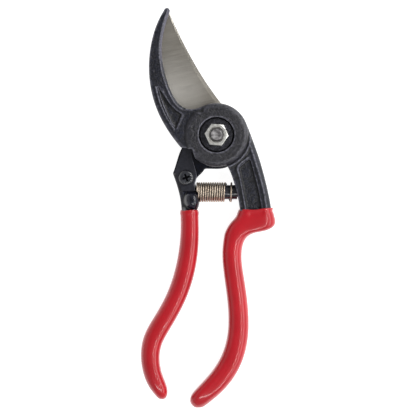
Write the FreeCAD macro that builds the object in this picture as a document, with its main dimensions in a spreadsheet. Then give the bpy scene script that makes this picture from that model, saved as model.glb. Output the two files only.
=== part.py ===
"""Bypass pruner with two forged handles, a replaceable blade and dipped vinyl grips.

Frame, in millimetres: the tool lies flat on its back, +Z up. The origin is on the pivot axis, in the plane
of the pivot bolt's flat head, which the tool rests on. +Y runs from the handle ends to the jaw tip and +X
to the side of the hook handle's thumb rest. The tool is modelled closed.

Layers from the back to the front: bolt head, blade handle boss, blade, hook handle boss, washer, nut.
"""

import FreeCAD, Part
import math
import os

# Driving dimensions, all in millimetres.
DIMENSIONS = {
    # levels above the rest plane
    "rear_back": 1.5,        # back face of the blade handle's boss
    "seat_level": 8.6,       # face of the blade handle that the blade lies on
    "blade_thick": 3.0,
    "blade_gap": 0.15,       # running gap between the blade and the hook
    "boss_front": 18.25,     # front face of the hook handle's boss
    "hook_front": 16.9,
    "arm_back": 4.0,
    "arm_front": 15.4,
    "panel_depth": 1.7,
    "hook_pocket_depth": 1.6,
    "cut_over": 1.0,         # how far a cut starts outside what it cuts
    "neck_front": 14.6,
    "neck_round": 2.2,
    "back_round": 1.0,
    "handle_mid": 8.2,       # mid-plane of both grips
    # pivot
    "boss_radius": 17.1,
    "boss_round": 2.6,
    "hook_round": 1.6,
    "arm_round": 2.8,
    "rear_radius": 16.9,
    "sweep_radius": 18.45,   # room that the arm leaves for the other handle's boss
    "recess_radius": 9.5,
    "recess_depth": 2.75,
    "shank_radius": 5.0,
    "shank_play": 0.05,
    "tight_fit": 0.02,       # round pieces that don't turn in their holes
    "thread_radius": 3.95,
    "thread_depth": 0.35,
    "head_radius": 8.5,
    "head_thick": 3.3,
    "head_play": 0.1,
    "head_room": 0.6,
    "head_chamfer": 0.6,
    "shank_short": 0.2,      # what the shank stops under the recess floor
    "thread_chamfer": 0.7,
    "washer_radius": 8.6,
    "washer_thick": 1.1,
    "nut_flats": 11.1,
    "nut_thick": 4.6,
    "nut_mouth": 0.7,        # widening of the nut's thread at its face
    "nut_corner": 0.15,
    "bolt_proud": 0.6,       # thread that shows above the nut
    "dimple_radius": 2.5,    # shallow dimple in the thread's end
    "dimple_depth": 0.45,
    # blade screw
    "screw_x": -16.3,
    "screw_y": -22.9,
    "screw_head_radius": 4.1,
    "screw_head_rise": 1.9,
    "screw_radius": 2.4,
    "screw_dome": 1.5,
    "screw_cross": 1.1,      # width, reach and depth of the head's crossed slots
    "screw_cross_reach": 2.1,
    "screw_cross_depth": 1.4,
    # return spring and its pegs
    "spring_y": -30.7,
    "spring_mean_radius": 4.72,
    "spring_wire_radius": 0.58,
    "spring_start": -9.3,
    "spring_length": 17.4,
    "spring_turns": 12.0,
    "peg_radius": 3.9,
    "peg_hook_tip": 1.2,
    "peg_hook_end": 11.1,
    "peg_blade_tip": -2.7,
    "peg_blade_end": -9.1,
    "peg_shoulder": 1.2,
    "peg_seat_depth": 4.0,
    "peg_root_length": 4.0,
    "peg_root_radius": 1.55,
    "peg_root_shift": 2.1,   # towards the handle's end, clear of the tang
    "bumper_inset": 0.5,
    "bumper_plug": 1.6,
    "bumper_plug_length": 3.0,
    "peg_gap": 0.5,          # what the bumper leaves before the handles stop
    # opening stop and lock catch
    "stop_x": -20.4,
    "stop_y": 6.2,
    "stop_radius": 1.4,
    "stop_reach": 9.0,       # level that the pin comes down to
    "stop_seat": 3.0,
    "rivet_x": 13.5,
    "rivet_y": -19.5,
    "rivet_radius": 1.75,
    "rivet_play": 0.05,
    "rivet_depth": 7.0,
    "rivet_head_wide": 1.5,
    "rivet_head_thick": 0.9,
    "ring_wide": 1.3,
    "ring_thick": 0.5,
    "catch_thick": 1.9,
    "catch_gap": 0.1,
    "catch_ridge": 1.4,
    "notch_radius": 14.8,
    "catch_room": 0.3,
    # grips
    "grip_half_depth": 8.2,
    "grip_wall": 1.2,
    "grip_corner": 5.4,
}

# Outlines, in the XY plane. Each list runs along one edge of the piece.
HOOK_OUTER = [(-28.2, 66.9), (-32.6, 58.0), (-35.5, 46.6), (-36.3, 36.5), (-35.2, 24.5), (-31.3, 11.9),
              (-25.6, 1.6), (-19.2, -6.8)]
HOOK_INNER = [(-25.2, 66.0), (-27.8, 57.7), (-29.4, 48.0), (-28.9, 38.8), (-25.9, 27.0), (-21.4, 17.9),
              (-17.3, 14.4), (-12.9, 13.7), (-8.5, 14.8), (-3.5, 16.7)]
HOOK_TIP = (-26.4, 68.2)
NOTCH = [(-13.0, -7.6), (-12.3, -10.3), (-11.4, -13.1), (-11.0, -19.0), (-24.0, -19.0), (-24.0, -7.6)]
HOOK_POCKET_OUTER = [(-31.9, 27.0), (-30.0, 17.6), (-26.4, 9.2), (-21.9, 2.9)]
HOOK_POCKET_INNER = [(-31.9, 27.0), (-28.4, 21.3), (-24.2, 15.4), (-18.6, 11.0)]
ARM_OUTER = [(15.6, 7.0), (17.6, 2.3), (20.0, -4.2), (22.3, -10.6), (24.9, -19.2), (27.1, -27.8),
             (28.8, -36.0), (29.6, -41.0)]
ARM_INNER = [(4.8, -15.6), (6.3, -17.6), (8.8, -23.5), (11.0, -31.0), (12.7, -41.0)]
PANEL = [(17.4, -13.1), (11.9, -17.8), (14.0, -29.0), (16.4, -41.0), (24.6, -41.0), (22.2, -28.5),
         (18.2, -13.6)]

# In the YZ plane: the handle's back thickens towards its grip, and the hook thins towards its tip.
BACK_SWELL = [(-35.0, 4.2), (-41.0, 1.4), (-41.0, 6.0), (-35.0, 6.0)]
BACK_SWELL_SPAN = (13.0, 26.0)
TIP_TAPER = [(12.0, 17.2), (72.0, 14.6), (72.0, 20.0), (12.0, 20.0)]
TIP_TAPER_SPAN = (-45.0, -7.0)

BLADE_EDGE = [(-25.3, 65.6), (-30.2, 56.5), (-32.3, 47.0), (-32.5, 38.0), (-30.7, 28.0), (-26.8, 18.4),
              (-21.6, 11.2)]
BLADE_SPINE = [(-25.3, 65.6), (-19.6, 53.0), (-12.7, 39.9), (-5.6, 28.2), (0.4, 19.7), (6.5, 11.9)]
BLADE_HEEL = [(-21.6, 11.2), (-17.6, 8.6), (-15.9, 3.0), (-16.6, -3.0), (-18.4, -8.0)]
TANG_LEFT = [(-18.4, -8.0), (-19.9, -12.6), (-22.3, -19.3)]
TANG_LEFT_LOW = [(-22.3, -19.3), (-20.1, -25.2), (-18.5, -30.3)]
TANG_RIGHT = [(-11.2, -30.3), (-11.6, -26.4), (-10.7, -22.6), (-11.5, -18.2), (-12.6, -13.9), (-13.6, -9.0)]
BLADE_BACK = [(-13.6, -9.0), (-6.0, -13.2), (4.5, -13.8), (12.5, -7.5), (13.8, 3.5), (6.5, 11.9)]
EDGE_BEVEL_WIDTH = 7.5
EDGE_THICK = 0.25
SPINE_BEVEL_WIDTH = 2.0  # the shallow ground strip along the spine
SPINE_BEVEL_DEPTH = 0.2
CLEAR_OUTSIDE = 45.0  # cuts are closed this far to the side of the pivot, and above the tip
ABOVE_TIP = 72.0
TANG_BEVEL = [(-12.6, -13.9), (-11.5, -18.2), (-10.7, -22.6), (-11.6, -26.4), (-11.2, -30.3), (-11.2, -32.0)]
TANG_BEVEL_WIDTH = 0.6  # inside the tang's edge, and then outside it
TANG_BEVEL_PAST = 0.3
TANG_BEVEL_DEPTH = 0.6
TANG_CLEAR = (-9.0, -13.5)  # X and Y where the cut closes, short of the blade's back

NECK_LEFT = [(-17.6, -5.0), (-19.3, -8.0), (-21.5, -14.4), (-23.6, -20.6)]
NECK_LEFT_LOW = [(-23.6, -20.6), (-21.4, -26.8), (-19.7, -33.4), (-18.8, -41.0)]
NECK_RIGHT = [(-11.0, -41.0), (-9.2, -36.8), (-9.2, -33.4), (-11.0, -27.6), (-11.4, -24.6), (-9.8, -22.2),
              (-6.3, -18.1)]
LOWER_RIM = [(-6.3, -18.1), (0.0, -18.2), (6.0, -17.0), (9.0, -12.0)]
NECK_SHOULDER = -30.5

CATCH_LEFT = [(11.2, -18.8), (13.6, -13.6), (16.1, -10.3), (16.9, -7.9)]
CATCH_RIGHT = [(19.4, -6.4), (20.6, -8.8), (19.4, -12.9), (17.0, -17.8), (18.6, -22.6), (22.4, -28.6)]
CATCH_TAB = [(22.4, -28.6), (21.6, -32.4), (17.4, -31.4), (13.4, -24.4), (11.2, -18.8)]
CATCH_RIDGE = [(18.9, -27.4), (21.9, -28.9), (21.2, -31.7), (17.9, -31.0)]
NOTCH_ARCS = [(-33.0, -17.0), (-4.0, 21.0)]  # degrees round the pivot, with the tooth between them

# Grip sections: Y, middle X, half width, half depth as a share of the full one.
BLADE_GRIP = [(-41.0, -14.6, 4.85, 1.0), (-50.0, -14.4, 4.9, 1.0), (-62.0, -15.1, 5.2, 1.0),
              (-74.0, -17.3, 5.5, 1.0), (-86.0, -21.3, 5.8, 1.0), (-98.0, -27.5, 6.2, 1.0),
              (-106.0, -32.1, 6.1, 1.0), (-113.0, -34.9, 5.4, 1.0), (-121.0, -35.6, 5.0, 1.0),
              (-129.0, -34.1, 5.0, 0.97), (-135.5, -31.5, 4.8, 0.88), (-139.8, -29.8, 3.3, 0.7),
              (-142.2, -29.4, 1.6, 0.4)]
HOOK_GRIP = [(-41.0, 21.3, 9.7, 1.0), (-45.0, 20.4, 10.9, 1.0), (-48.0, 18.9, 12.0, 1.0),
             (-50.5, 16.8, 11.4, 1.0), (-52.3, 13.3, 8.8, 1.0), (-54.5, 10.4, 6.4, 1.0),
             (-58.0, 9.0, 5.5, 1.0), (-64.0, 8.3, 5.2, 1.0), (-76.0, 9.4, 5.3, 1.0), (-90.0, 11.3, 5.4, 1.0),
             (-103.0, 11.8, 5.5, 1.0), (-113.0, 10.5, 5.8, 1.0), (-121.0, 7.8, 6.3, 1.0),
             (-129.0, 3.1, 7.1, 1.0), (-136.5, -3.2, 7.7, 0.97), (-141.5, -7.5, 6.7, 0.88),
             (-144.8, -9.3, 4.4, 0.68), (-146.7, -9.7, 2.0, 0.4)]
CORE_END = 2  # sections that the steel core stops short of the grip's end
CORNER_SHARE = 0.92  # of a grip section's shorter half side, which its corners take

SCREW_TURN = 20.0  # degrees that the screw's cross is turned
NUT_TURN = -5.0
ROOT_3 = math.sqrt(3)

doc = FreeCAD.newDocument("bypass_pruner")
sheet = doc.addObject("Spreadsheet::Sheet", "sizes")
for row, (alias, value) in enumerate(DIMENSIONS.items(), 1):
    sheet.set(f"A{row}", alias)
    sheet.set(f"B{row}", str(value))
    sheet.setAlias(f"B{row}", alias)
doc.recompute()


def cells(expression):
    """The expression with each dimension's name pointed at its cell."""
    words = expression.split(" ")
    return " ".join("sizes." + word if word in DIMENSIONS else word for word in words)


HOOK_BACK = "seat_level + blade_thick + blade_gap"
RECESS_FLOOR = "boss_front - recess_depth"


class Piece:
    """One sub-part: a PartDesign body whose Label names its file."""

    def __init__(self, label):
        self.body = doc.addObject("PartDesign::Body", label)
        self.body.Label = label
        self.label = label

    def plane(self, role):
        """The body's own origin plane of that role."""
        return next(f for f in self.body.Origin.OriginFeatures if f.Role == role)

    def attach(self, feature, role, offset):
        """Attaches a feature to an origin plane, moved by {axis: expression}."""
        feature.AttachmentSupport = [(self.plane(role), "")]
        feature.MapMode = "FlatFace"
        for axis, expression in offset.items():
            feature.setExpression(f"AttachmentOffset.Base.{axis}", cells(expression))

    def check(self, feature):
        """Recomputes, and stops if the feature failed."""
        doc.recompute()
        if "Invalid" in feature.State or "Error" in feature.State or feature.Shape.isNull():
            raise RuntimeError(f"{self.label}: {feature.Name} failed")
        return feature

    def round(self, name, radius, height, x="0", y="0", z="0", role="XY_Plane", cut=False):
        """A cylinder, added or cut. On YZ_Plane its axis runs along +X and z is its X."""
        kind = "PartDesign::SubtractiveCylinder" if cut else "PartDesign::AdditiveCylinder"
        feature = self.body.newObject(kind, name)
        self.attach(feature, role, {"x": x, "y": y, "z": z})
        feature.setExpression("Radius", cells(radius))
        feature.setExpression("Height", cells(height))
        return self.check(feature)

    def cone(self, name, low_radius, high_radius, height, x="0", y="0", z="0", cut=False):
        """A cone, added or cut, along +Z."""
        kind = "PartDesign::SubtractiveCone" if cut else "PartDesign::AdditiveCone"
        feature = self.body.newObject(kind, name)
        self.attach(feature, "XY_Plane", {"x": x, "y": y, "z": z})
        feature.setExpression("Radius1", cells(low_radius))
        feature.setExpression("Radius2", cells(high_radius))
        feature.setExpression("Height", cells(height))
        return self.check(feature)

    def sketch(self, name, curves, role="XY_Plane", level="0"):
        """A sketch of curves at a level along its plane's normal."""
        drawing = self.body.newObject("Sketcher::SketchObject", name)
        self.attach(drawing, role, {"z": level})
        drawing.addGeometry(curves, False)
        return drawing

    def pad(self, name, curves, low, height):
        """Adds an outline from the low level upwards."""
        feature = self.body.newObject("PartDesign::Pad", name)
        feature.Profile = self.sketch(name + "_outline", curves, level=low)
        feature.setExpression("Length", cells(height))
        return self.check(feature)

    def pocket(self, name, curves, top, depth):
        """Cuts an outline from the top level downwards, and stops if that cut nothing."""
        before = self.body.Shape.Volume
        feature = self.body.newObject("PartDesign::Pocket", name)
        feature.Profile = self.sketch(name + "_outline", curves, level=top)
        feature.setExpression("Length", cells(depth))
        self.check(feature)
        if feature.Shape.Volume > before - 0.01:
            raise RuntimeError(f"{self.label}: pocket {name} cut nothing")
        return feature

    def across(self, name, points, span, cut=False):
        """An outline in the YZ plane, added or cut from the first X of span to the second."""
        feature = self.body.newObject("PartDesign::" + ("Pocket" if cut else "Pad"), name)
        outline = polygon(points)
        feature.Profile = self.sketch(name + "_profile", outline, role="YZ_Plane", level=str(span[0]))
        feature.Reversed = cut
        feature.Length = span[1] - span[0]
        return self.check(feature)

    def dress(self, kind, name, size, choose):
        """A Fillet or Chamfer of every edge that choose(edge) picks."""
        base = self.body.Tip
        picked = [f"Edge{i}" for i, edge in enumerate(base.Shape.Edges, 1) if choose(edge)]
        feature = self.body.newObject("PartDesign::" + kind, name)
        feature.Base = (base, picked)
        if kind == "Fillet":
            feature.Radius = size
        else:
            feature.Size = size
        return self.check(feature)

    def loft(self, name, sections, cut=False):
        """A loft through sections, which are lists of curves on planes across Y, with each one's -Y."""
        kind = "PartDesign::SubtractiveLoft" if cut else "PartDesign::AdditiveLoft"
        drawings = [
            self.sketch(f"{name}_section_{i}", curves, role="XZ_Plane", level=str(level))
            for i, (level, curves) in enumerate(sections)
        ]
        feature = self.body.newObject(kind, name)
        feature.Profile = drawings[0]
        feature.Sections = drawings[1:]
        return self.check(feature)


def flat(x, y):
    """A point of a sketch."""
    return FreeCAD.Vector(x, y, 0)


def spline(points):
    """A smooth curve through points."""
    curve = Part.BSplineCurve()
    curve.interpolate([flat(*p) for p in points])
    return curve


def lines(points):
    """Straight runs through points."""
    return [Part.LineSegment(flat(*a), flat(*b)) for a, b in zip(points, points[1:])]


def polygon(points):
    """A closed outline of straight runs."""
    return lines([*points, points[0]])


def ring_sector(inner, outer, start, end):
    """The outline between two radii round the pivot, from one angle in degrees to another."""
    a, b = math.radians(start), math.radians(end)
    arcs = [
        Part.ArcOfCircle(Part.Circle(flat(0, 0), FreeCAD.Vector(0, 0, 1), r), a, b) for r in (inner, outer)
    ]
    ends = [
        Part.LineSegment(
            flat(inner * math.cos(t), inner * math.sin(t)), flat(outer * math.cos(t), outer * math.sin(t))
        )
        for t in (a, b)
    ]
    return [*arcs, *ends]


def rounded_box(middle_x, middle_z, half_x, half_z):
    """A rounded rectangle's curves. Its corners take most of the shorter half side."""
    corner = CORNER_SHARE * min(half_x, half_z, DIMENSIONS["grip_corner"])
    x, z = half_x - corner, half_z - corner
    centres = [(x, z), (-x, z), (-x, -z), (x, -z)]
    curves = []
    for i, (cx, cz) in enumerate(centres):
        start, end = i * math.pi / 2, (i + 1) * math.pi / 2
        centre = flat(middle_x + cx, middle_z + cz)
        curves.append(Part.ArcOfCircle(Part.Circle(centre, FreeCAD.Vector(0, 0, 1), corner), start, end))
        nx, nz = centres[(i + 1) % 4]
        way = flat(corner * math.cos(end), corner * math.sin(end))
        curves.append(Part.LineSegment(centre + way, flat(middle_x + nx, middle_z + nz) + way))
    return curves


def grip_sections(stations):
    """The grip's sections. The last ones close its end."""
    full, middle = DIMENSIONS["grip_half_depth"], DIMENSIONS["handle_mid"]
    return [(-y, rounded_box(x, middle, half, full * share)) for y, x, half, share in stations]


def side_at(stations, y, side):
    """The X of a grip's side, 1 for right and -1 for left, at any Y."""
    sides = [(station_y, x + side * half) for station_y, x, half, _ in stations]
    y = max(min(y, sides[0][0]), sides[-1][0])
    for (y0, x0), (y1, x1) in zip(sides, sides[1:]):
        if y >= y1:
            return x1 + (x0 - x1) * (y - y1) / (y0 - y1)


def core_sections(stations):
    """The core's sections: a vinyl wall inside the grip's sides, both across the grip and along it."""
    full, middle, wall = (DIMENSIONS[name] for name in ("grip_half_depth", "handle_mid", "grip_wall"))
    sections = []
    for y, _, _, share in stations[:-CORE_END]:
        right = min(side_at(stations, y + shift, 1) for shift in (-wall, 0, wall)) - wall
        left = max(side_at(stations, y + shift, -1) for shift in (-wall, 0, wall)) + wall
        box = rounded_box((left + right) / 2, middle, (right - left) / 2, full * share - wall)
        sections.append((-y, box))
    return sections


def on_level(edge, level, tolerance=0.01):
    """True if the whole edge lies at that Z."""
    box = edge.BoundBox
    return abs(box.ZMin - level) < tolerance and abs(box.ZMax - level) < tolerance


def flat_end(edge):
    """True for the straight edge where a forging's neck meets its grip."""
    box = edge.BoundBox
    return box.YLength < 0.01 and box.YMax < -40.0


def follows(edge, points, tolerance=1.5):
    """True if the middle of the edge lies near that outline."""
    middle = edge.valueAt((edge.FirstParameter + edge.LastParameter) / 2)
    curve = spline(points).toShape()
    return curve.distToShape(Part.Vertex(middle.x, middle.y, 0))[0] < tolerance


def make_hook_handle():
    """The forging with the hook, the front boss, the right arm and the core of its grip."""
    piece = Piece("hook_handle")
    sizes = DIMENSIONS
    piece.round("boss", "boss_radius", f"boss_front - ( {HOOK_BACK} )", z=HOOK_BACK)
    piece.dress("Fillet", "boss_edge", sizes["boss_round"], lambda e: on_level(e, sizes["boss_front"]))
    piece.pocket("tang_window", polygon(NOTCH), "boss_front + cut_over", "boss_front")
    hook = [
        spline(HOOK_OUTER),
        *lines([HOOK_OUTER[-1], NOTCH[0], (0.0, 0.0), HOOK_INNER[-1]]),
        spline(HOOK_INNER),
        Part.Arc(flat(*HOOK_OUTER[0]), flat(*HOOK_TIP), flat(*HOOK_INNER[0])),
    ]
    piece.pad("hook", hook, HOOK_BACK, f"hook_front - ( {HOOK_BACK} )")
    piece.dress("Fillet", "hook_edge", sizes["hook_round"],
                lambda e: on_level(e, sizes["hook_front"]) and follows(e, HOOK_OUTER))
    piece.across("tip_taper", TIP_TAPER, TIP_TAPER_SPAN, cut=True)
    hook_pocket = [
        spline(HOOK_POCKET_OUTER),
        spline(HOOK_POCKET_INNER),
        *lines([HOOK_POCKET_OUTER[-1], HOOK_POCKET_INNER[-1]]),
    ]
    piece.pocket("hook_pocket", hook_pocket, "hook_front + cut_over", "hook_pocket_depth + cut_over")
    arm = [
        spline(ARM_OUTER),
        *lines([ARM_OUTER[-1], ARM_INNER[-1]]),
        spline(ARM_INNER),
        *lines([ARM_INNER[0], (0.0, -8.0), (8.0, 4.0), ARM_OUTER[0]]),
    ]
    piece.pad("arm", arm, "arm_back", "arm_front - arm_back")
    for name, level in (("arm_edge", "arm_front"), ("arm_back_edge", "arm_back")):
        height = sizes[level]
        piece.dress("Fillet", name, sizes["arm_round"],
                    lambda e: on_level(e, height) and follows(e, ARM_OUTER))
    circle = [Part.Circle(flat(0, 0), FreeCAD.Vector(0, 0, 1), sizes["sweep_radius"])]
    piece.pocket("boss_room", circle, HOOK_BACK, "seat_level + cut_over")
    piece.across("back_swell", BACK_SWELL, BACK_SWELL_SPAN)
    piece.loft("core", core_sections(HOOK_GRIP))
    piece.pocket("panel", polygon(PANEL), "arm_front", "panel_depth")
    piece.round("nut_recess", "recess_radius", "recess_depth + cut_over", z=RECESS_FLOOR, cut=True)
    piece.round("pivot_bore", "shank_radius + tight_fit", "boss_front", z="seat_level", cut=True)
    piece.round("pin_hole", "stop_radius", "stop_seat", x="stop_x", y="stop_y", z=HOOK_BACK, cut=True)
    piece.round("rivet_hole", "rivet_radius", "rivet_depth", x="rivet_x", y="rivet_y", z="arm_back",
                cut=True)
    peg = {"x": "spring_y", "y": "handle_mid", "role": "YZ_Plane", "cut": True}
    seat_start = "peg_hook_end - peg_seat_depth"
    piece.round("peg_seat", "peg_radius + tight_fit", "peg_seat_depth", z=seat_start, **peg)
    piece.round("peg_hole", "peg_radius - peg_shoulder + tight_fit", "peg_root_length + cut_over",
                z="peg_hook_end - cut_over / 2", **peg)
    return piece


def make_blade_handle():
    """The forging with the rear boss, the blade's seat, the neck and the core of its grip."""
    piece = Piece("blade_handle")
    piece.round("boss", "rear_radius", "seat_level - rear_back", z="rear_back")
    seat = [
        spline(NECK_LEFT),
        spline(NECK_LEFT_LOW),
        *lines([NECK_LEFT_LOW[-1], NECK_RIGHT[0]]),
        spline(NECK_RIGHT),
        spline(LOWER_RIM),
        *lines([LOWER_RIM[-1], (0.0, 0.0), NECK_LEFT[0]]),
    ]
    piece.pad("seat", seat, "rear_back", "seat_level - rear_back")
    neck = [
        *lines([(-20.0, NECK_SHOULDER), (-10.4, NECK_SHOULDER)]),
        spline([(-10.4, NECK_SHOULDER), (-9.2, -34.5), (-9.6, -38.0), (-11.0, -41.0)]),
        *lines([(-11.0, -41.0), (-18.8, -41.0)]),
        spline([(-18.8, -41.0), (-19.2, -35.6), (-20.0, NECK_SHOULDER)]),
    ]
    piece.pad("neck", neck, "rear_back", "neck_front - rear_back")
    rounded = (("neck_edge", "neck_round", "neck_front"), ("back_edge", "back_round", "rear_back"))
    for name, size, level in rounded:
        height = DIMENSIONS[level]
        piece.dress("Fillet", name, DIMENSIONS[size], lambda e: on_level(e, height) and not flat_end(e))
    piece.loft("core", core_sections(BLADE_GRIP))
    for i, (start, end) in enumerate(NOTCH_ARCS):
        room = ring_sector(DIMENSIONS["notch_radius"], DIMENSIONS["sweep_radius"] + 1, start, end)
        piece.pocket(f"catch_room_{i}", room, "arm_back + catch_room", "arm_back")
    piece.round("head_recess", "head_radius + head_room", "head_thick + head_play", cut=True)
    piece.round("pivot_bore", "shank_radius + shank_play", "seat_level", cut=True)
    piece.round("screw_hole", "screw_radius", "seat_level", x="screw_x", y="screw_y", cut=True)
    root_end = "peg_blade_end - peg_root_length - cut_over / 10"
    piece.round("peg_hole", "peg_root_radius", "peg_root_length + 2 * cut_over", cut=True, role="YZ_Plane",
                x="spring_y - peg_root_shift", y="handle_mid", z=root_end)
    return piece


def make_blade():
    """The blade: flat on the side that meets the hook, bevelled on the other, with a tang for its screw."""
    piece = Piece("cutting_blade")
    outline = [spline(p) for p in (BLADE_EDGE, BLADE_HEEL, TANG_LEFT, TANG_LEFT_LOW)]
    outline += lines([TANG_LEFT_LOW[-1], TANG_RIGHT[0]])
    outline += [spline(p) for p in (TANG_RIGHT, BLADE_BACK, BLADE_SPINE)]
    piece.pad("blade", outline, "seat_level", "blade_thick")
    piece.round("pivot_bore", "shank_radius + shank_play", "seat_level + 10", cut=True)
    piece.round("screw_hole", "screw_radius + 0.1", "seat_level + 10", x="screw_x", y="screw_y", cut=True)
    seat, face = DIMENSIONS["seat_level"], DIMENSIONS["seat_level"] + DIMENSIONS["blade_thick"]
    bevels = (
        ("edge_bevel", BLADE_EDGE, (-CLEAR_OUTSIDE, ABOVE_TIP),
         (EDGE_BEVEL_WIDTH, seat), (0.0, face - EDGE_THICK)),
        ("spine_bevel", BLADE_SPINE, (CLEAR_OUTSIDE, ABOVE_TIP),
         (-SPINE_BEVEL_WIDTH, face), (0.0, face - SPINE_BEVEL_DEPTH)),
        ("tang_bevel", TANG_BEVEL, TANG_CLEAR,
         (-TANG_BEVEL_WIDTH, face), (TANG_BEVEL_PAST, face - TANG_BEVEL_DEPTH)),
    )
    for name, points, corner, (wide_width, wide_level), (narrow_width, narrow_level) in bevels:
        bevel = piece.body.newObject("PartDesign::SubtractiveLoft", name)
        wide = bevel_outline(points, wide_width, corner)
        bevel.Profile = piece.sketch(name + "_wide", wide, level=str(wide_level))
        narrow = bevel_outline(points, narrow_width, corner)
        bevel.Sections = [piece.sketch(name + "_narrow", narrow, level=str(narrow_level))]
        bevel.Ruled = True
        piece.check(bevel)
    return piece


def bevel_outline(points, width, corner):
    """The region beyond a run of points moved to its left by width, which it reaches by the fourth point.

    It is closed at the X and the Y of a corner outside the blade.
    """
    inner = []
    for i, (x, y) in enumerate(points):
        ahead, behind = points[min(i + 1, len(points) - 1)], points[max(i - 1, 0)]
        along = flat(ahead[0] - behind[0], ahead[1] - behind[1]).normalize()
        share = min(1.0, 0.25 + 0.25 * i)
        inner.append((x - along.y * width * share, y + along.x * width * share))
    beyond = [(corner[0], inner[-1][1]), corner, (inner[0][0], corner[1])]
    return [spline(inner), *lines([inner[-1], *beyond, inner[0]])]


def make_bolt():
    """The pivot bolt: a round flat head, a bearing shank and a thread."""
    piece = Piece("pivot_bolt")
    piece.round("head", "head_radius", "head_thick")
    piece.dress("Chamfer", "head_edge", DIMENSIONS["head_chamfer"], lambda e: on_level(e, 0.0))
    piece.round("shank", "shank_radius", f"{RECESS_FLOOR} - shank_short")
    top = f"{RECESS_FLOOR} + washer_thick + nut_thick + bolt_proud"
    piece.round("thread", "thread_radius - thread_depth", top)
    level = DIMENSIONS["boss_front"] - DIMENSIONS["recess_depth"] + DIMENSIONS["washer_thick"]
    level += DIMENSIONS["nut_thick"] + DIMENSIONS["bolt_proud"]
    piece.dress("Chamfer", "thread_end", DIMENSIONS["thread_chamfer"], lambda e: on_level(e, level))
    piece.cone("end_dimple", "dimple_radius / 2", "dimple_radius", "dimple_depth", z=f"{top} - dimple_depth",
               cut=True)
    return piece


def make_nut():
    """The hexagon nut, chamfered on its outer corners and round the mouth of its thread."""
    piece = Piece("pivot_nut")
    base = f"{RECESS_FLOOR} + washer_thick"
    hexagon = piece.body.newObject("PartDesign::AdditivePrism", "hexagon")
    piece.attach(hexagon, "XY_Plane", {"z": base})
    hexagon.Polygon = 6
    hexagon.setExpression("Circumradius", cells(f"nut_flats / {ROOT_3}"))
    hexagon.setExpression("Height", cells("nut_thick"))
    hexagon.AttachmentOffset.Rotation = FreeCAD.Rotation(FreeCAD.Vector(0, 0, 1), NUT_TURN)
    piece.check(hexagon)
    piece.round("thread", "thread_radius - thread_depth", "nut_thick + cut_over", z=base, cut=True)
    piece.cone("mouth", "thread_radius - thread_depth", "thread_radius + thread_depth", "nut_mouth + 0.01",
               z=f"{base} + nut_thick - nut_mouth", cut=True)
    chamfer = doc.addObject("Part::Cone", "nut_corner_cone")
    chamfer.setExpression("Radius1", cells(f"nut_flats / 2 + nut_thick * {ROOT_3} - nut_corner"))
    chamfer.setExpression("Radius2", cells("nut_flats / 2 - nut_corner"))
    chamfer.setExpression("Height", cells("nut_thick"))
    chamfer.setExpression("Placement.Base.z", cells(base))
    common = doc.addObject("Part::MultiCommon", "pivot_nut_shape")
    common.Shapes = [piece.body, chamfer]
    doc.recompute()
    piece.body.Label = "nut_blank"
    common.Label = "pivot_nut"
    return common


def make_washer():
    """The plain washer under the nut."""
    piece = Piece("pivot_washer")
    piece.round("disc", "washer_radius", "washer_thick", z=RECESS_FLOOR)
    piece.round("hole", "thread_radius + 0.2", "washer_thick", z=RECESS_FLOOR, cut=True)
    return piece


def make_screw():
    """The cross-recessed screw that holds the blade's tang to its handle."""
    piece = Piece("blade_screw")
    top = "seat_level + blade_thick"
    where = {"x": "screw_x", "y": "screw_y"}
    piece.round("head", "screw_head_radius", "screw_head_rise", z=top, **where)
    level = DIMENSIONS["seat_level"] + DIMENSIONS["blade_thick"] + DIMENSIONS["screw_head_rise"]
    piece.dress("Fillet", "dome", DIMENSIONS["screw_dome"], lambda e: on_level(e, level))
    piece.round("shank", "screw_radius", f"{top} - rear_back", z="rear_back", **where)
    x, y = DIMENSIONS["screw_x"], DIMENSIONS["screw_y"]
    arm, half = DIMENSIONS["screw_cross_reach"], DIMENSIONS["screw_cross"] / 2
    for i in range(2):
        angle = math.radians(SCREW_TURN) + i * math.pi / 2
        ux, uy = math.cos(angle), math.sin(angle)
        corners = [(arm, half), (-arm, half), (-arm, -half), (arm, -half)]
        slot = [(x + a * ux - b * uy, y + a * uy + b * ux) for a, b in corners]
        piece.pocket(f"slot_{i}", polygon(slot), f"{top} + screw_head_rise", "screw_cross_depth")
    return piece


def make_spring():
    """The compression spring between the handles, as it sits when they are closed."""
    piece = Piece("return_spring")
    wire = [Part.Circle(flat(DIMENSIONS["spring_mean_radius"], 0), FreeCAD.Vector(0, 0, 1),
                        DIMENSIONS["spring_wire_radius"])]
    helix = piece.body.newObject("PartDesign::AdditiveHelix", "coil")
    helix.Profile = piece.sketch("wire", wire, role="XZ_Plane")
    helix.ReferenceAxis = (helix.Profile[0], ["V_Axis"])
    helix.Mode = 2
    helix.setExpression("Turns", cells("spring_turns"))
    helix.setExpression("Height", cells("spring_length"))
    piece.check(helix)
    place = FreeCAD.Vector(DIMENSIONS["spring_start"], DIMENSIONS["spring_y"], DIMENSIONS["handle_mid"])
    piece.body.Placement = FreeCAD.Placement(place, FreeCAD.Rotation(FreeCAD.Vector(0, 1, 0), 90))
    return piece


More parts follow.
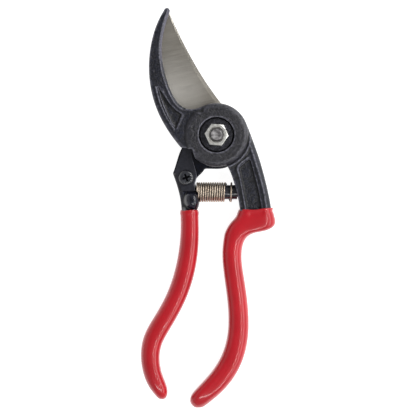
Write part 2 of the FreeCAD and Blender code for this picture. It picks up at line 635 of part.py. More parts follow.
def make_pegs():
    """The two pegs that hold the spring's ends, and the rubber bumper that they close on."""
    hook = Piece("spring_peg_hook")
    spot = {"x": "spring_y", "y": "handle_mid", "role": "YZ_Plane"}
    hook.round("stem", "peg_radius", "peg_hook_end - peg_hook_tip", z="peg_hook_tip", **spot)
    hook.round("root", "peg_radius - peg_shoulder", "peg_root_length", z="peg_hook_end", **spot)
    blade = Piece("spring_peg_blade")
    blade.round("stem", "peg_radius", "peg_blade_tip - ( peg_blade_end )", z="peg_blade_end", **spot)
    shifted = {**spot, "x": "spring_y - peg_root_shift"}
    root_start = "peg_blade_end - peg_root_length"
    blade.round("root", "peg_root_radius", "peg_root_length", z=root_start, **shifted)
    plug = {"z": "peg_blade_tip - bumper_plug_length", **spot}
    blade.round("bumper_seat", "bumper_plug", "bumper_plug_length", cut=True, **plug)
    bumper = Piece("stop_bumper")
    pad = "peg_hook_tip - ( peg_blade_tip ) - peg_gap"
    bumper.round("pad", "peg_radius - bumper_inset", pad, z="peg_blade_tip", **spot)
    bumper.round("plug", "bumper_plug", "bumper_plug_length", **plug)
    return [hook, blade, bumper]


def make_stop_pin():
    """The dowel behind the hook that the tang meets when the handles are fully open."""
    piece = Piece("opening_stop_pin")
    length = f"{HOOK_BACK} + stop_seat - stop_reach"
    piece.round("pin", "stop_radius", length, x="stop_x", y="stop_y", z="stop_reach")
    return piece


def make_catch():
    """The swinging lock catch on the back of the hook handle, its wave washer and its rivet."""
    catch = Piece("lock_catch")
    low = "arm_back - catch_gap - catch_thick"
    plate = [
        spline(CATCH_LEFT),
        *lines([CATCH_LEFT[-1], CATCH_RIGHT[0]]),
        spline(CATCH_RIGHT),
        spline(CATCH_TAB),
    ]
    catch.pad("plate", plate, low, "catch_thick")
    catch.pad("thumb_ridge", polygon(CATCH_RIDGE), f"{low} - catch_ridge", "catch_ridge")
    at = {"x": "rivet_x", "y": "rivet_y"}
    catch.round("hole", "rivet_radius + rivet_play", "arm_back", cut=True, **at)
    under = f"{low} - catch_gap - ring_thick"
    rivet = Piece("catch_rivet")
    head_back = f"{under} - rivet_head_thick"
    rivet.round("head", "rivet_radius + rivet_head_wide", "rivet_head_thick", z=head_back, **at)
    rivet.round("shank", "rivet_radius", f"arm_back + rivet_depth - ( {under} )", z=under, **at)
    washer = Piece("catch_washer")
    washer.round("ring", "rivet_radius + ring_wide", "ring_thick", z=under, **at)
    washer.round("hole", "rivet_radius + rivet_play", "ring_thick", z=under, cut=True, **at)
    return [catch, rivet, washer]


def make_grip(label, stations):
    """A dipped vinyl grip: a thin shell over the handle's core, open at its top."""
    piece = Piece(label)
    piece.loft("outside", grip_sections(stations))
    piece.loft("core_room", core_sections(stations), cut=True)
    return piece


pieces = [
    make_hook_handle(),
    make_blade_handle(),
    make_blade(),
    make_bolt(),
    make_nut(),
    make_washer(),
    make_screw(),
    make_spring(),
    *make_pegs(),
    make_stop_pin(),
    *make_catch(),
    make_grip("hook_handle_grip", HOOK_GRIP),
    make_grip("blade_handle_grip", BLADE_GRIP),
]

doc.recompute()
for item in doc.Objects:
    if "Invalid" in item.State or "Error" in item.State:
        raise RuntimeError(f"{item.Label} did not rebuild")

os.makedirs("parts", exist_ok=True)
for piece in pieces:
    made = piece.body if isinstance(piece, Piece) else piece
    shape = made.Shape
    if shape.isNull() or not shape.isValid() or not shape.Solids:
        raise RuntimeError(f"{made.Label} has no valid shape")
    shape.exportStep(os.path.join("parts", made.Label + ".step"))
    print(f"{made.Label}: {len(shape.Solids)} solid, {shape.Volume:.0f} mm3")
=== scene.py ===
"""How the bypass pruner looks: forged handles, a ground blade, a coil spring and dipped vinyl grips.

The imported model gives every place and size. Lengths are in metres, and MM turns millimetres into them.
"""

import math

import bpy
import numpy as np
from mathutils import Matrix, Vector


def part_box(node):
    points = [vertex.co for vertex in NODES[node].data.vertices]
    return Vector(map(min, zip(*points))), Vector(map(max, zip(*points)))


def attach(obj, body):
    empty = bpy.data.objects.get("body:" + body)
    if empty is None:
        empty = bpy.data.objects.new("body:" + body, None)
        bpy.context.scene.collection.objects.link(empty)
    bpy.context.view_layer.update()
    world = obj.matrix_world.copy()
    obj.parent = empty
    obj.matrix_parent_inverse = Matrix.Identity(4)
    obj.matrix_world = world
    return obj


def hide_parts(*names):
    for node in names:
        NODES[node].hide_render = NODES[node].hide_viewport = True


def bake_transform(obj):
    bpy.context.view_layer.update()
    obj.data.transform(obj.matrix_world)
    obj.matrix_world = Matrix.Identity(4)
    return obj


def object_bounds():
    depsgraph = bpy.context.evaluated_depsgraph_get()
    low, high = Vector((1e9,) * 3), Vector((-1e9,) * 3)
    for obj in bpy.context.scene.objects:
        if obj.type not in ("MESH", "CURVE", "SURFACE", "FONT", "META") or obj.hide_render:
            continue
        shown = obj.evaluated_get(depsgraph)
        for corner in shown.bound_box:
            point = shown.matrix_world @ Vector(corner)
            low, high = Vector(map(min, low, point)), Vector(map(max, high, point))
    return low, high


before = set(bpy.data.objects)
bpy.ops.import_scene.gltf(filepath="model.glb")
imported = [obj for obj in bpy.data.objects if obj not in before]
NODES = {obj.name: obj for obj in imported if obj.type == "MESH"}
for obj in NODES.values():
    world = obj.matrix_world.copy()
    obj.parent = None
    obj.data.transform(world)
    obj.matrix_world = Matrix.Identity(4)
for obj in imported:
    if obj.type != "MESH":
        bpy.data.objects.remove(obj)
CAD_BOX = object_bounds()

MM = 0.001

# The forgings and the grips are rebuilt on grids this fine, so that their edges can be worn round.
FORGING_GRID = 0.34 * MM
GRIP_GRID = 0.42 * MM
# Rounds of smoothing that crown the wide, flat top of the thumb rest.
CROWN_ROUNDS = 110
# Inside a grip the steel gets thinner by this much, all of it by the second of these two Y.
CORE_THINNER = 1.0 * MM
CORE_THINS = (-42.5 * MM, -45 * MM)


# ---------------------------------------------------------------- meshes


def read_points(mesh):
    """A mesh's vertices as an array."""
    points = np.empty(len(mesh.vertices) * 3)
    mesh.vertices.foreach_get("co", points)
    return points.reshape(-1, 3)


def write_points(mesh, points):
    """Moves a mesh's vertices."""
    mesh.vertices.foreach_set("co", points.ravel())
    mesh.update()


def read_normals(mesh):
    """A mesh's vertex normals as an array."""
    normals = np.empty(len(mesh.vertices) * 3, np.float32)
    mesh.vertices.foreach_get("normal", normals)
    return normals.reshape(-1, 3)


def new_piece(name, points, faces, smooth=True):
    """An object with a new mesh."""
    mesh = bpy.data.meshes.new(name)
    mesh.from_pydata([tuple(p) for p in points], [], faces)
    mesh.validate()
    mesh.polygons.foreach_set("use_smooth", [smooth] * len(mesh.polygons))
    piece = bpy.data.objects.new(name, mesh)
    bpy.context.scene.collection.objects.link(piece)
    return piece


def copy_of(node, name):
    """A new piece with the shape of a CAD node."""
    mesh = NODES[node].data.copy()
    mesh.name = name
    mesh.materials.clear()
    piece = bpy.data.objects.new(name, mesh)
    bpy.context.scene.collection.objects.link(piece)
    return piece


def settle(piece):
    """Applies a piece's modifiers."""
    depsgraph = bpy.context.evaluated_depsgraph_get()
    mesh = bpy.data.meshes.new_from_object(piece.evaluated_get(depsgraph))
    old = piece.data
    piece.modifiers.clear()
    piece.data = mesh
    bpy.data.meshes.remove(old)
    mesh.name = piece.name


def remesh(piece, grid):
    """Rebuilds a piece on an even grid."""
    modifier = piece.modifiers.new("remesh", "REMESH")
    modifier.mode = "VOXEL"
    modifier.voxel_size = grid
    modifier.use_smooth_shade = True
    settle(piece)


def relaxed(mesh, rounds, share=1.0):
    """A gridded mesh's points drawn towards their neighbours. share is how far, from 0 to 1."""
    points = read_points(mesh)
    ends = np.empty(len(mesh.edges) * 2, np.int32)
    mesh.edges.foreach_get("vertices", ends)
    a, b = ends.reshape(-1, 2).T
    size = len(points)
    neighbours = np.bincount(a, minlength=size) + np.bincount(b, minlength=size)
    step = 0.5 * np.broadcast_to(share, size)[:, None]
    for _ in range(rounds):
        total = np.stack(
            [np.bincount(a, points[b, k], size) + np.bincount(b, points[a, k], size) for k in range(3)], 1
        )
        points += step * (total / neighbours[:, None] - points)
    return points


def soften(piece, rounds, share=1.0):
    """Rounds a gridded piece's edges."""
    write_points(piece.data, relaxed(piece.data, rounds, share))


def store(piece, name, values):
    """Keeps a number at each point of a piece, for its material."""
    piece.data.attributes.new(name, "FLOAT", "POINT").data.foreach_set("value", values.astype(np.float32))


def store_relief(piece, rounds=7, reach=0.10 * MM):
    """Stores relief: 0.5 where the surface is flat, up to 1 on its edges and down to 0 in its corners."""
    mesh = piece.data
    proud = ((read_points(mesh) - relaxed(mesh, rounds)) * read_normals(mesh)).sum(1)
    store(piece, "relief", np.clip(0.5 + proud / (2 * reach), 0, 1))


def thin_core(piece):
    """Thins the steel inside a grip, so that it stays clear of the smoothed vinyl."""
    points = read_points(piece.data)
    in_grip = smoothstep(*CORE_THINS, points[:, 1])
    write_points(piece.data, points - CORE_THINNER * in_grip[:, None] * read_normals(piece.data))


def smoothstep(low, high, value):
    """0 below low, 1 above high, and smooth between."""
    t = np.clip((value - low) / (high - low), 0, 1)
    return t * t * (3 - 2 * t)


def distance_to_path(points, path):
    """How far each point is from a run of straight lines, seen from above."""
    nearest = np.full(len(points), np.inf)
    flat = points[:, :2]
    for start, end in zip(path, path[1:]):
        start, end = np.array(start), np.array(end)
        along = end - start
        t = np.clip((flat - start) @ along / (along @ along), 0, 1)
        nearest = np.minimum(nearest, np.linalg.norm(flat - start - t[:, None] * along, axis=1))
    return nearest


def smooth_path(corners, steps=8):
    """A smooth run of points through a few corners, in millimetres, returned in metres."""
    corners = [np.array(c, float) for c in corners]
    padded = [2 * corners[0] - corners[1], *corners, 2 * corners[-1] - corners[-2]]
    path = []
    for p0, p1, p2, p3 in zip(padded, padded[1:], padded[2:], padded[3:]):
        for t in np.arange(steps) / steps:
            path.append(
                0.5 * (2 * p1 + (p2 - p0) * t + (2 * p0 - 5 * p1 + 4 * p2 - p3) * t**2
                       + (3 * p1 - p0 - 3 * p2 + p3) * t**3)
            )
    path.append(corners[-1])
    return [p * MM for p in path]


def raise_ridge(piece, path, width, height):
    """Raises a soft ridge, or sinks a groove, in what faces up along a path."""
    points, normals = read_points(piece.data), read_normals(piece.data)
    lift = np.exp(-((distance_to_path(points, path) / width) ** 2)) * smoothstep(0.3, 0.8, normals[:, 2])
    points[:, 2] += height * lift
    write_points(piece.data, points)


def tube(name, path, radius, sides=14):
    """A round wire along a path, with rounded ends."""
    path = [Vector(p) for p in path]
    tangents = [(b - a).normalized() for a, b in zip(path, path[1:])]
    tangents.append(tangents[-1])
    across = tangents[0].orthogonal().normalized()
    points, faces = [], []
    last = len(path) - 1
    for i, (centre, tangent) in enumerate(zip(path, tangents)):
        across = (across - tangent * across.dot(tangent)).normalized()
        other = tangent.cross(across)
        size = radius * (0.6 if i in (0, last) else 1.0)
        for k in range(sides):
            angle = 2 * math.pi * k / sides
            points.append(centre + size * (math.cos(angle) * across + math.sin(angle) * other))
    for i in range(last):
        for k in range(sides):
            a, b = i * sides + k, i * sides + (k + 1) % sides
            faces.append((a, b, b + sides, a + sides))
    faces.append(tuple(reversed(range(sides))))
    faces.append(tuple(range(last * sides, (last + 1) * sides)))
    return new_piece(name, points, faces)


# ---------------------------------------------------------------- materials


class Surface:
    """A material and its nodes. An input given as a socket is linked, and any other is set."""

    def __init__(self, name, **inputs):
        self.material = bpy.data.materials.new(name)
        self.material.use_nodes = True
        self.tree = self.material.node_tree
        self.shader = self.tree.nodes["Principled BSDF"]
        self.place = self.add("TexCoord").outputs["Object"]
        self.set(self.shader, inputs)

    def set(self, node, inputs):
        """Sets or links a node's inputs."""
        for key, value in inputs.items():
            socket = node.inputs[key]
            if isinstance(value, bpy.types.NodeSocket):
                self.tree.links.new(value, socket)
            else:
                socket.default_value = value

    def add(self, kind, inputs=None, **settings):
        """A new node."""
        node = self.tree.nodes.new("ShaderNode" + kind)
        for key, value in settings.items():
            setattr(node, key, value)
        self.set(node, inputs or {})
        return node

    def stored(self, name):
        """A number that store has kept on the piece."""
        return self.add("Attribute", attribute_name=name).outputs["Fac"]

    def parts(self, vector):
        """A vector's X, Y and Z."""
        return self.add("SeparateXYZ", {0: vector}).outputs

    def stretched(self, scale, turn=0.0):
        """The place on the object, turned about Z and stretched."""
        turned = self.add("Mapping", {"Vector": self.place, "Rotation": (0, 0, turn)})
        return self.add("Mapping", {"Vector": turned.outputs[0], "Scale": scale}).outputs[0]

    def noise(self, scale, detail=3.0, rough=0.5, place=None):
        """Noise with features of about 1 / scale metres."""
        inputs = {"Vector": place or self.place, "Scale": scale, "Detail": detail, "Roughness": rough}
        return self.add("TexNoise", inputs).outputs["Fac"]

    def spread(self, value, low, high, to_low, to_high):
        """value mapped from one range to another, clamped."""
        inputs = {"Value": value, "From Min": low, "From Max": high, "To Min": to_low, "To Max": to_high}
        return self.add("MapRange", inputs).outputs[0]

    def mix(self, share, first, second):
        """A colour between two, or between two colour sockets."""
        node = self.add("Mix", data_type="RGBA")
        self.set(node, {0: share, 6: first, 7: second})
        return node.outputs[2]

    def mix_numbers(self, share, first, second):
        """A number between two."""
        node = self.add("Mix", data_type="FLOAT")
        self.set(node, {0: share, 2: first, 3: second})
        return node.outputs[0]

    def sums(self, operation, *values):
        """A math node."""
        return self.add("Math", dict(enumerate(values)), operation=operation).outputs[0]

    def bump(self, *layers):
        """Bumps, each (height socket, depth in metres), one on another, linked to the shader."""
        normal = None
        for height, depth in layers:
            inputs = {"Height": height, "Strength": 1.0, "Distance": depth}
            if normal:
                inputs["Normal"] = normal
            normal = self.add("Bump", inputs).outputs[0]
        self.set(self.shader, {"Normal": normal})


def forging_finish(name, grain_depth, gloss):
    """Black coating over forged steel: mottled, pale on its edges from wear and a painted highlight, with
    painted shade in its corners.

    Three numbers kept on the piece steer it: relief, worn (the boss's paler face) and bare (ground steel).
    grain_depth is the depth of its grain in metres. gloss runs from 0, satin, to 1, smooth paint.
    """
    s = Surface(name, IOR=1.5)
    cloud = s.noise(190, 4.0, 0.6)
    grain = s.noise(760, 3.0, 0.65)
    speck = s.noise(2200, 2.0, 0.6)
    relief = s.stored("relief")
    bare = s.stored("bare")
    worn = s.stored("worn")
    mottle = s.sums("ADD", s.spread(cloud, 0.35, 0.65, 0.0, 0.35), s.spread(grain, 0.42, 0.62, 0.0, 0.65))
    light = s.mix(worn, (0.004, 0.006, 0.019, 1), (0.023, 0.0225, 0.031, 1))
    coat = s.mix(mottle, (0.002, 0.002, 0.004, 1), light)
    coat = s.mix(s.spread(speck, 0.60, 0.70, 0.0, 0.5 * (1 - gloss)), coat, (0.085, 0.085, 0.12, 1))
    # Painted shade: the coat goes nearly black in corners, where relief is low.
    coat = s.mix(s.spread(relief, 0.45, 0.2, 0.0, 1.0), coat, (0.001, 0.001, 0.002, 1))
    # Pale on edges, where relief is high: part edge wear, part painted highlight; less of it on smooth
    # paint.
    worn_and_lit_edges = s.sums("MULTIPLY", s.spread(relief, 0.58, 0.88, 0.0, 1.0 - 0.8 * gloss),
                    s.spread(grain, 0.4, 0.62, 0.25, 1.0))
    coat = s.mix(worn_and_lit_edges, coat, (0.16, 0.16, 0.20, 1))
    s.set(s.shader, {
        "Base Color": s.mix(bare, coat, (0.24, 0.23, 0.29, 1)),
        "Metallic": s.sums("MULTIPLY", bare, 0.5),
        "Roughness": s.spread(grain, 0.3, 0.7, 0.28 - 0.14 * gloss, 0.48 - 0.24 * gloss),
        "Specular IOR Level": s.mix_numbers(worn, 0.52, 0.65),
    })
    s.bump((cloud, grain_depth), (grain, grain_depth), (speck, 0.25 * grain_depth))
    return s.material


def black_finish(name, dark, light, bright_from=0.0):
    """Black oxide on small steel pieces, mottled between two colours, with painted shade below a level:
    black there, with little reflection.
    """
    s = Surface(name, Metallic=0.0, IOR=1.6)
    grain = s.noise(700, 4.0, 0.6)
    _, _, level = s.parts(s.place)
    # Painted shade below bright_from: on the screw, the head's rim and the floor of its cross go black.
    high = s.spread(level, bright_from - 0.4 * MM, bright_from, 0.0, 1.0)
    mottle = s.mix(s.spread(grain, 0.35, 0.65, 0.0, 1.0), dark, light)
    s.set(s.shader, {
        "Base Color": s.mix(high, (0.002, 0.002, 0.003, 1), mottle),
        "Roughness": s.spread(grain, 0.3, 0.7, 0.16, 0.30),
        "Specular IOR Level": s.mix_numbers(high, 0.1, 0.65),
    })
    s.bump((grain, 0.05 * MM))
    return s.material


def blade_finish():
    """Ground steel with fine lines across the blade, brightened low down by a painted reflection and
    darkened on the spine's bevel, which faces right, by painted shade.

    The tang has a black coat like the forgings', painted pale on its bevel: worn steel and a painted
    highlight.
    """
    s = Surface("ground_steel", Metallic=1.0)
    tilt = math.radians(-13)
    lines = s.noise(1.0, 3.0, 0.6, s.stretched((140, 3600, 900), tilt))
    broad = s.noise(1.0, 2.0, 0.5, s.stretched((50, 420, 60), tilt))
    cloud = s.noise(45, 3.0, 0.5)
    _, y, z = s.parts(s.place)
    facing_right, _, _ = s.parts(s.add("TexCoord").outputs["Normal"])
    coat = s.spread(y, -2.0 * MM, -4.0 * MM, 0.0, 1.0)
    # A painted reflection: the steel is lightened within 20 mm of a point low on the blade's left.
    low_left = (-24 * MM, 23 * MM, 11.6 * MM)
    from_glare_spot = s.add("VectorMath", {0: s.place, 1: low_left}, operation="DISTANCE").outputs["Value"]
    share = s.sums("ADD", s.spread(lines, 0.35, 0.65, 0.0, 0.4), s.spread(broad, 0.38, 0.62, 0.0, 0.35))
    steel = s.mix(share, (0.47, 0.44, 0.385, 1), (0.70, 0.67, 0.61, 1))
    steel = s.mix(s.spread(cloud, 0.4, 0.65, 0.0, 0.35), steel, (0.54, 0.49, 0.42, 1))
    steel = s.mix(s.spread(from_glare_spot, 20 * MM, 2 * MM, 0.0, 1.0), steel, (1.0, 0.96, 0.88, 1))
    # Painted shade: surfaces facing right, the spine's bevel, are darkened.
    steel = s.mix(s.spread(facing_right, 0.06, 0.14, 0.0, 0.9), steel, (0.25, 0.235, 0.21, 1))
    black = s.mix(s.noise(900), (0.014, 0.0145, 0.020, 1), (0.040, 0.041, 0.052, 1))
    # The tang's bevel is painted pale: worn steel, and a painted highlight along it.
    under_face = s.spread(z, 11.52 * MM, 11.45 * MM, 0.0, 1.0)
    on_bevel = s.sums("MULTIPLY", under_face, s.spread(z, 10.9 * MM, 11.1 * MM, 0.0, 1.0))
    black = s.mix(on_bevel, black, (0.17, 0.17, 0.20, 1))
    s.set(s.shader, {
        "Base Color": s.mix(coat, steel, black),
        "Metallic": s.sums("SUBTRACT", 1.0, coat),
        "Roughness": s.mix_numbers(coat, s.spread(lines, 0.25, 0.75, 0.30, 0.40), 0.2),
    })
    s.bump((lines, 0.010 * MM), (broad, 0.02 * MM))
    return s.material


def zinc_finish(name, bright, dull, depth, roughness, ring=0.0):
    """Zinc plate, frosted and stained: a bright colour, a dull one, and the depth of its frost in metres.

    ring is the radius of a dark ring of painted shade on the bolt's threaded end, for the gap at its thread,
    if the piece has one.
    """
    s = Surface(name, Metallic=1.0)
    frost = s.noise(1100, 5.0, 0.7)
    stain = s.noise(420, 3.0, 0.6)
    plate = s.mix(s.spread(stain, 0.38, 0.62, 0.0, 1.0), bright, dull)
    # Painted shade: a dark ring on the bolt's end, where the gap at its thread would be in shade.
    if ring:
        x, y, z = s.parts(s.place)
        radius = s.sums("SQRT", s.sums("ADD", s.sums("POWER", x, 2.0), s.sums("POWER", y, 2.0)))
        off_ring = s.sums("ABSOLUTE", s.sums("SUBTRACT", radius, ring))
        on_end = s.spread(z, 15 * MM, 16 * MM, 0.0, 1.0)
        share = s.sums("MULTIPLY", on_end, s.spread(off_ring, 0.12 * MM, 0.34 * MM, 0.85, 0.0))
        plate = s.mix(share, plate, (0.03, 0.03, 0.032, 1))
    s.set(s.shader, {
        "Base Color": plate,
        "Roughness": s.spread(frost, 0.3, 0.7, roughness, roughness + 0.2),
    })
    s.bump((frost, depth))
    return s.material


def spring_finish():
    """Drawn spring wire with a warm bronze tint, and painted shade inside the coils."""
    s = Surface("spring_wire", Metallic=1.0)
    drawn = s.noise(260, 2.0, 0.5)
    # Painted shade: the wire goes dark on the inside of the coils, so the gaps between them look shaded.
    inner = s.stored("inner")
    clean = s.mix(s.spread(drawn, 0.3, 0.7, 0.0, 1.0), (0.56, 0.46, 0.365, 1), (0.68, 0.575, 0.47, 1))
    s.set(s.shader, {
        "Base Color": s.mix(inner, clean, (0.045, 0.035, 0.028, 1)),
        "Roughness": 0.46,
    })
    return s.material


def vinyl_finish():
    """Dipped red vinyl: soft gloss over a faintly uneven skin."""
    s = Surface("dipped_vinyl", Metallic=0.0, IOR=1.52)
    flow = s.noise(60, 2.0, 0.5)
    skin = s.noise(1300, 3.0, 0.55)
    tone = s.spread(flow, 0.3, 0.7, 0.0, 1.0)
    s.set(s.shader, {
        "Base Color": s.mix(tone, (0.46, 0.004, 0.012, 1), (0.55, 0.008, 0.018, 1)),
        "Roughness": s.spread(skin, 0.3, 0.7, 0.30, 0.40),
        "Specular IOR Level": 0.35,
        "Subsurface Weight": 0.06,
        "Subsurface Radius": (0.9, 0.25, 0.2),
        "Subsurface Scale": 1.2 * MM,
        "Coat Weight": 0.6,
        "Coat Roughness": 0.06,
    })
    s.bump((flow, 0.10 * MM), (skin, 0.022 * MM))
    return s.material


def rubber_finish():
    """Moulded black rubber."""
    s = Surface("bumper_rubber", Metallic=0.0)
    grain = s.noise(1600, 3.0, 0.6)
    s.set(s.shader, {
        "Base Color": s.mix(grain, (0.010, 0.010, 0.010, 1), (0.028, 0.027, 0.026, 1)),
        "Roughness": s.spread(grain, 0.3, 0.7, 0.62, 0.8),
    })
    s.bump((grain, 0.04 * MM))
    return s.material


def paint(piece, material):
    """Gives a piece one material."""
    piece.data.materials.clear()
    piece.data.materials.append(material)


# ---------------------------------------------------------------- pieces


def hook_forging(coat):
    """The hook, front boss and right arm, worn round and with the ridges that frame its panels."""
    piece = copy_of("hook_handle", "hook_forging")
    remesh(piece, FORGING_GRID)
    soften(piece, 2)
    thin_core(piece)
    turn = np.radians(np.linspace(-3, -68, 12))
    boss_rim = [(18.3 * MM * math.cos(a), 18.3 * MM * math.sin(a)) for a in turn]
    panel_left = smooth_path([(16.6, -12.4), (11.4, -17.2), (12.9, -24.0), (14.2, -31.0), (15.8, -41.0)])
    panel_right = smooth_path([(18.2, -6.0), (20.0, -11.6), (23.1, -21.7), (25.4, -30.3), (27.0, -41.0)])
    hook_rim = smooth_path([(-32.7, 25.6), (-30.9, 19.0), (-28.9, 14.0), (-26.2, 8.6), (-22.8, 3.1)])
    hook_line = smooth_path([(-31.4, 25.4), (-29.6, 19.0), (-27.5, 13.4), (-24.2, 6.6), (-22.6, 4.6)])
    hook_web = smooth_path([(-29.0, 24.6), (-25.6, 17.0), (-22.3, 13.0), (-18.6, 11.2), (-18.3, 9.4),
                            (-21.2, 3.4)])
    for path, width, height in (
        (boss_rim, 0.7, 0.75), (panel_left, 0.55, 0.6), (panel_right, 0.8, 0.5), (hook_rim, 0.42, 0.55),
        (hook_line, 0.45, 0.75), (hook_web, 0.42, 0.16),
    ):
        raise_ridge(piece, path, width * MM, height * MM)
    soften(piece, 1)
    # Where the hook's inner edge runs out against the boss, it is worn smooth.
    root = np.array([-9.8, 13.6]) * MM
    from_root = np.linalg.norm(read_points(piece.data)[:, :2] - root, axis=1)
    soften(piece, 14, smoothstep(4.5 * MM, 1.5 * MM, from_root))
    # The inner edge is broken, and bare towards its tip.
    edge = smooth_path([(-25.2, 66.0), (-27.8, 57.7), (-29.4, 48.0), (-28.9, 38.8), (-25.9, 27.0),
                        (-21.4, 17.9), (-17.3, 14.4)])
    points = read_points(piece.data)
    near_edge = 1 - smoothstep(0.5 * MM, 1.3 * MM, distance_to_path(points, edge))
    near_edge *= read_normals(piece.data)[:, 2] > 0.1
    points[:, 2] -= 0.5 * MM * near_edge
    write_points(piece.data, points)
    store(piece, "bare", 0.55 * near_edge * smoothstep(32 * MM, 50 * MM, points[:, 1]))
    radius = np.linalg.norm(points[:, :2], axis=1)
    store(piece, "worn", smoothstep(17.4 * MM, 16.4 * MM, radius) * (points[:, 2] > 15.8 * MM))
    store_relief(piece)
    paint(piece, coat)
    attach(piece, "hook_side")
    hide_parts("hook_handle")


def blade_forging(coat):
    """The rear boss, the blade's seat and the neck, with the round knob above its grip."""
    piece = copy_of("blade_handle", "blade_forging")
    remesh(piece, FORGING_GRID)
    soften(piece, 2)
    thin_core(piece)
    points = read_points(piece.data)
    y, z = points[:, 1], points[:, 2]
    # The neck's face, at its full height in the CAD, sinks to the low one but for a leaning knob.
    low, full = 11.7 * MM, 14.6 * MM
    knob_centre, lean = np.array([-12.9, -35.3]) * MM, math.radians(15)
    knob_long, knob_wide, knob_high = 5.4 * MM, 4.2 * MM, 4.3 * MM
    from_centre = points[:, :2] - knob_centre
    along = from_centre @ (math.sin(lean), -math.cos(lean)) / knob_long
    across = from_centre @ (math.cos(lean), math.sin(lean)) / knob_wide
    knob = knob_high * np.sqrt(np.clip(1 - along**2 - across**2, 0, 1))
    strip = 2.9 * MM * smoothstep(-38.5 * MM, -41 * MM, y) + 0.3 * MM
    on_neck = (z > low) & (y < -29 * MM) & (y > -41.2 * MM)
    z[on_neck] = (low + (z - low) / (full - low) * np.maximum(knob, strip))[on_neck]
    # The neck's top slopes down to its left side.
    slope_wide, slope_deep = 2.2 * MM, 4 * MM
    left_side = smooth_path([(-23.6, -20.6), (-21.4, -26.8), (-19.7, -33.4), (-18.8, -41.0)])
    inside = np.clip(distance_to_path(points, left_side) / slope_wide, 0, 1)
    top = np.where(y > -30.4 * MM, 8.6 * MM, low + 0.3 * MM)
    base = top - slope_deep
    sloped = (inside < 1) & (z > base) & (y < -20.6 * MM)
    z[sloped] = (base + (z - base) * (1 - 0.5 * (1 - inside)))[sloped]
    write_points(piece.data, points)
    soften(piece, 3)
    store_relief(piece)
    paint(piece, coat)
    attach(piece, "blade_side")
    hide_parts("blade_handle")


def dipped_grip(node, name, body, vinyl, lean):
    """A vinyl grip: the CAD grip with a smooth skin, a crowned top and a slightly uneven lip.

    lean is the slope of the lip. The end of the hook grip's thumb rest is fuller low down and rounder above.
    """
    piece = copy_of(node, name)
    remesh(piece, GRIP_GRID)
    low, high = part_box(node)
    points = read_points(piece.data)
    near_lip = smoothstep(high.y - 4 * MM, high.y, points[:, 1])
    middle = (low.x + high.x) / 2
    wave = 0.25 * MM * np.sin((points[:, 0] + points[:, 2]) / (2.1 * MM))
    points[:, 1] += near_lip * (0.6 * MM + lean * (points[:, 0] - middle) + wave)
    write_points(piece.data, points)
    soften(piece, 22, 1.0 - 0.85 * near_lip)
    flat_part = smoothstep(-66 * MM, -56 * MM, read_points(piece.data)[:, 1]) * (1 - near_lip)
    rounder = relaxed(piece.data, CROWN_ROUNDS, flat_part)
    points = read_points(piece.data)
    points[:, 2] = rounder[:, 2]
    bead_below, bead_wide, bead_high = 1.0 * MM, 0.9 * MM, 0.22 * MM
    bead = np.exp(-(((points[:, 1] - high.y + bead_below) / bead_wide) ** 2))
    bead *= smoothstep(0, 2.5 * MM, points[:, 2])
    points += bead_high * bead[:, None] * read_normals(piece.data)
    at_end = smoothstep(20 * MM, 29 * MM, points[:, 0])
    for first, last, change in ((-53, -49.5, 0.8), (-50, -46, -0.55), (-43.4, -40.6, -0.55)):
        points[:, 0] += change * MM * at_end * smoothstep(first * MM, last * MM, points[:, 1])
    write_points(piece.data, np.clip(points, *CAD_BOX))
    paint(piece, vinyl)
    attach(piece, body)
    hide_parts(node)
    return piece


def coil_spring(wire):
    """The return spring: close coils, then a wider turn to the last coil on the hook handle's peg."""
    low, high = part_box("return_spring")
    centre_y, centre_z = (low.y + high.y) / 2, (low.z + high.z) / 2
    wire_radius = 0.50 * MM
    mean_radius = (high.z - low.z) / 2 - 0.40 * MM
    steps = 44  # in each turn
    # An end turn, the close coils, a wide turn and the last coil: turns made, and how far along X.
    turns_at = [0.0, 0.6, 12.2, 12.75, 13.4]
    along_at = [low.x - 0.6 * MM, low.x - 0.2 * MM, 4.3 * MM, 7.7 * MM, 8.1 * MM]
    path = []
    for turn in np.arange(0, turns_at[-1], 1 / steps):
        angle = 2 * math.pi * turn
        x = np.interp(turn, turns_at, along_at)
        y = centre_y + mean_radius * math.sin(angle)
        path.append((x, y, centre_z + mean_radius * math.cos(angle)))
    piece = tube("coil_spring", path, wire_radius)
    points = read_points(piece.data)
    from_axis = np.hypot(points[:, 1] - centre_y, points[:, 2] - centre_z)
    # How far inside the coil each point lies, which its material paints as shade.
    store(piece, "inner", smoothstep(mean_radius + 0.42 * MM, mean_radius + 0.14 * MM, from_axis))
    paint(piece, wire)
    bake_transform(piece)
    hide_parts("return_spring")


def finish_node(node, material, bevel):
    """A CAD node that stays: a material, and edges broken by a small bevel."""
    piece = NODES[node]
    for slot in piece.material_slots:
        slot.link = "OBJECT"
        slot.material = material
    modifier = piece.modifiers.new("broken_edges", "BEVEL")
    modifier.width = bevel
    modifier.segments = 2
    modifier.limit_method = "ANGLE"
    modifier.angle_limit = math.radians(35)
    modifier.harden_normals = False


# ---------------------------------------------------------------- stage


def area_light(name, place, target, size, power, colour=(1, 1, 1)):
    """A rectangular light that faces a target, with its second size along Y."""
    data = bpy.data.lights.new(name, "AREA")
    data.shape = "RECTANGLE"
    data.size, data.size_y = size
    data.energy = power
    data.color = colour
    light = bpy.data.objects.new(name, data)
    bpy.context.scene.collection.objects.link(light)
    back = (Vector(place) - Vector(target)).normalized()
    across = Vector((0, 1, 0)).cross(back).normalized()
    turn = Matrix((across, back.cross(across), back)).transposed().to_4x4()
    light.matrix_world = Matrix.Translation(place) @ turn


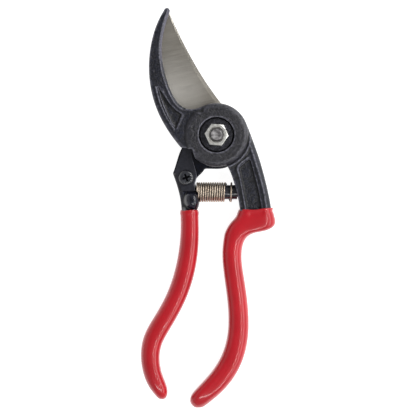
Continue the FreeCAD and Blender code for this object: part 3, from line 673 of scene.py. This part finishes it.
def set_surround(overhead, level):
    """A soft surround that brightens from straight overhead down to the level of the table."""
    world = bpy.data.worlds.new("surround")
    bpy.context.scene.world = world
    world.use_nodes = True
    tree = world.node_tree
    direction = tree.nodes.new("ShaderNodeTexCoord").outputs["Generated"]
    split = tree.nodes.new("ShaderNodeSeparateXYZ")
    tree.links.new(direction, split.inputs[0])
    fade = tree.nodes.new("ShaderNodeMapRange")
    for key, value in {"From Min": 0.35, "From Max": 0.95, "To Min": level, "To Max": overhead}.items():
        fade.inputs[key].default_value = value
    tree.links.new(split.outputs[2], fade.inputs["Value"])
    background = tree.nodes["Background"]
    background.inputs["Color"].default_value = (0.97, 0.98, 1.0, 1)
    tree.links.new(fade.outputs[0], background.inputs["Strength"])


def set_stage():
    """A white floor, a soft surround, one narrow light and two wide side lights."""
    half = 1.5
    floor = new_piece("floor", [(-half, -half, 0), (half, -half, 0), (half, half, 0), (-half, half, 0)],
                      [(0, 1, 2, 3)], smooth=False)
    floor.location.z = -0.05 * MM
    s = Surface("pale_floor", Roughness=0.9)
    s.set(s.shader, {"Emission Color": (1, 1, 1, 1), "Emission Strength": 0.93})
    s.set(s.shader, {"Base Color": s.mix(s.noise(3.0), (0.40, 0.40, 0.40, 1), (0.44, 0.44, 0.44, 1))})
    paint(floor, s.material)
    set_surround(overhead=0.17, level=0.42)
    middle = (-0.005, -0.04, 0.01)
    area_light("strip", (0.50, -0.02, 0.95), middle, (0.026, 1.3), 3.2, (1.0, 0.98, 0.95))
    area_light("key", (0.75, 0.7, 0.75), middle, (0.5, 0.7), 5)
    area_light("right_fill", (0.9, -0.05, 0.6), middle, (0.35, 1.4), 4.5)
    area_light("left_fill", (-0.95, -0.05, 0.55), middle, (0.7, 1.4), 0.8)
    area_light("front_fill", (0.10, -0.62, 0.9), middle, (0.7, 0.10), 2.2)
    view = bpy.context.scene.view_settings
    view.view_transform = "Standard"
    view.look = "None"


def set_camera():
    """A long lens square above the tool, with the jaw tip at the top of the frame."""
    sensor, distance, frame_width = 36.0, 1.6, 223.6 * MM
    data = bpy.data.cameras.new("camera")
    data.sensor_width = sensor
    data.lens = sensor * distance / frame_width
    data.clip_start, data.clip_end = 0.05, 20
    camera = bpy.data.objects.new("camera", data)
    bpy.context.scene.collection.objects.link(camera)
    low, high = CAD_BOX
    camera.location = ((low[0] + high[0]) / 2, (low[1] + high[1]) / 2, 12 * MM + distance)
    bpy.context.scene.camera = camera


# ---------------------------------------------------------------- the whole

set_camera()
set_stage()

coat = forging_finish("forging_coat", 0.30 * MM, 0.0)
smooth_coat = forging_finish("smooth_coat", 0.02 * MM, 1.0)
vinyl = vinyl_finish()
zinc = zinc_finish("zinc_plate", (0.95, 0.95, 0.91, 1), (0.66, 0.65, 0.61, 1), 0.03 * MM, 0.30)
worn_zinc = zinc_finish("worn_zinc", (0.46, 0.45, 0.45, 1), (0.17, 0.16, 0.165, 1), 0.10 * MM, 0.60,
                        ring=3.3 * MM)
black = black_finish("black_oxide", (0.003, 0.003, 0.005, 1), (0.034, 0.034, 0.046, 1))
screw_black = black_finish("screw_black", (0.018, 0.019, 0.023, 1), (0.045, 0.047, 0.056, 1), 12.9 * MM)

hook_forging(coat)
blade_forging(smooth_coat)
thumb_rest = dipped_grip("hook_handle_grip", "hook_grip_vinyl", "hook_side", vinyl, 0.05)
thumb_hollow = smooth_path([(18.4, -42.3), (24.2, -41.9)])
raise_ridge(thumb_rest, thumb_hollow, 1.3 * MM, -0.5 * MM)
dipped_grip("blade_handle_grip", "blade_grip_vinyl", "blade_side", vinyl, 0.0)
coil_spring(spring_finish())

finish_node("cutting_blade", blade_finish(), 0.10 * MM)
finish_node("stop_bumper", rubber_finish(), 0.3 * MM)
finish_node("pivot_bolt", worn_zinc, 0.10 * MM)
for node_name in ("pivot_nut", "catch_rivet", "catch_washer", "lock_catch"):
    finish_node(node_name, zinc, 0.12 * MM)
finish_node("blade_screw", screw_black, 0.06 * MM)
for node_name in ("pivot_washer", "spring_peg_hook", "spring_peg_blade", "opening_stop_pin"):
    finish_node(node_name, black, 0.06 * MM)
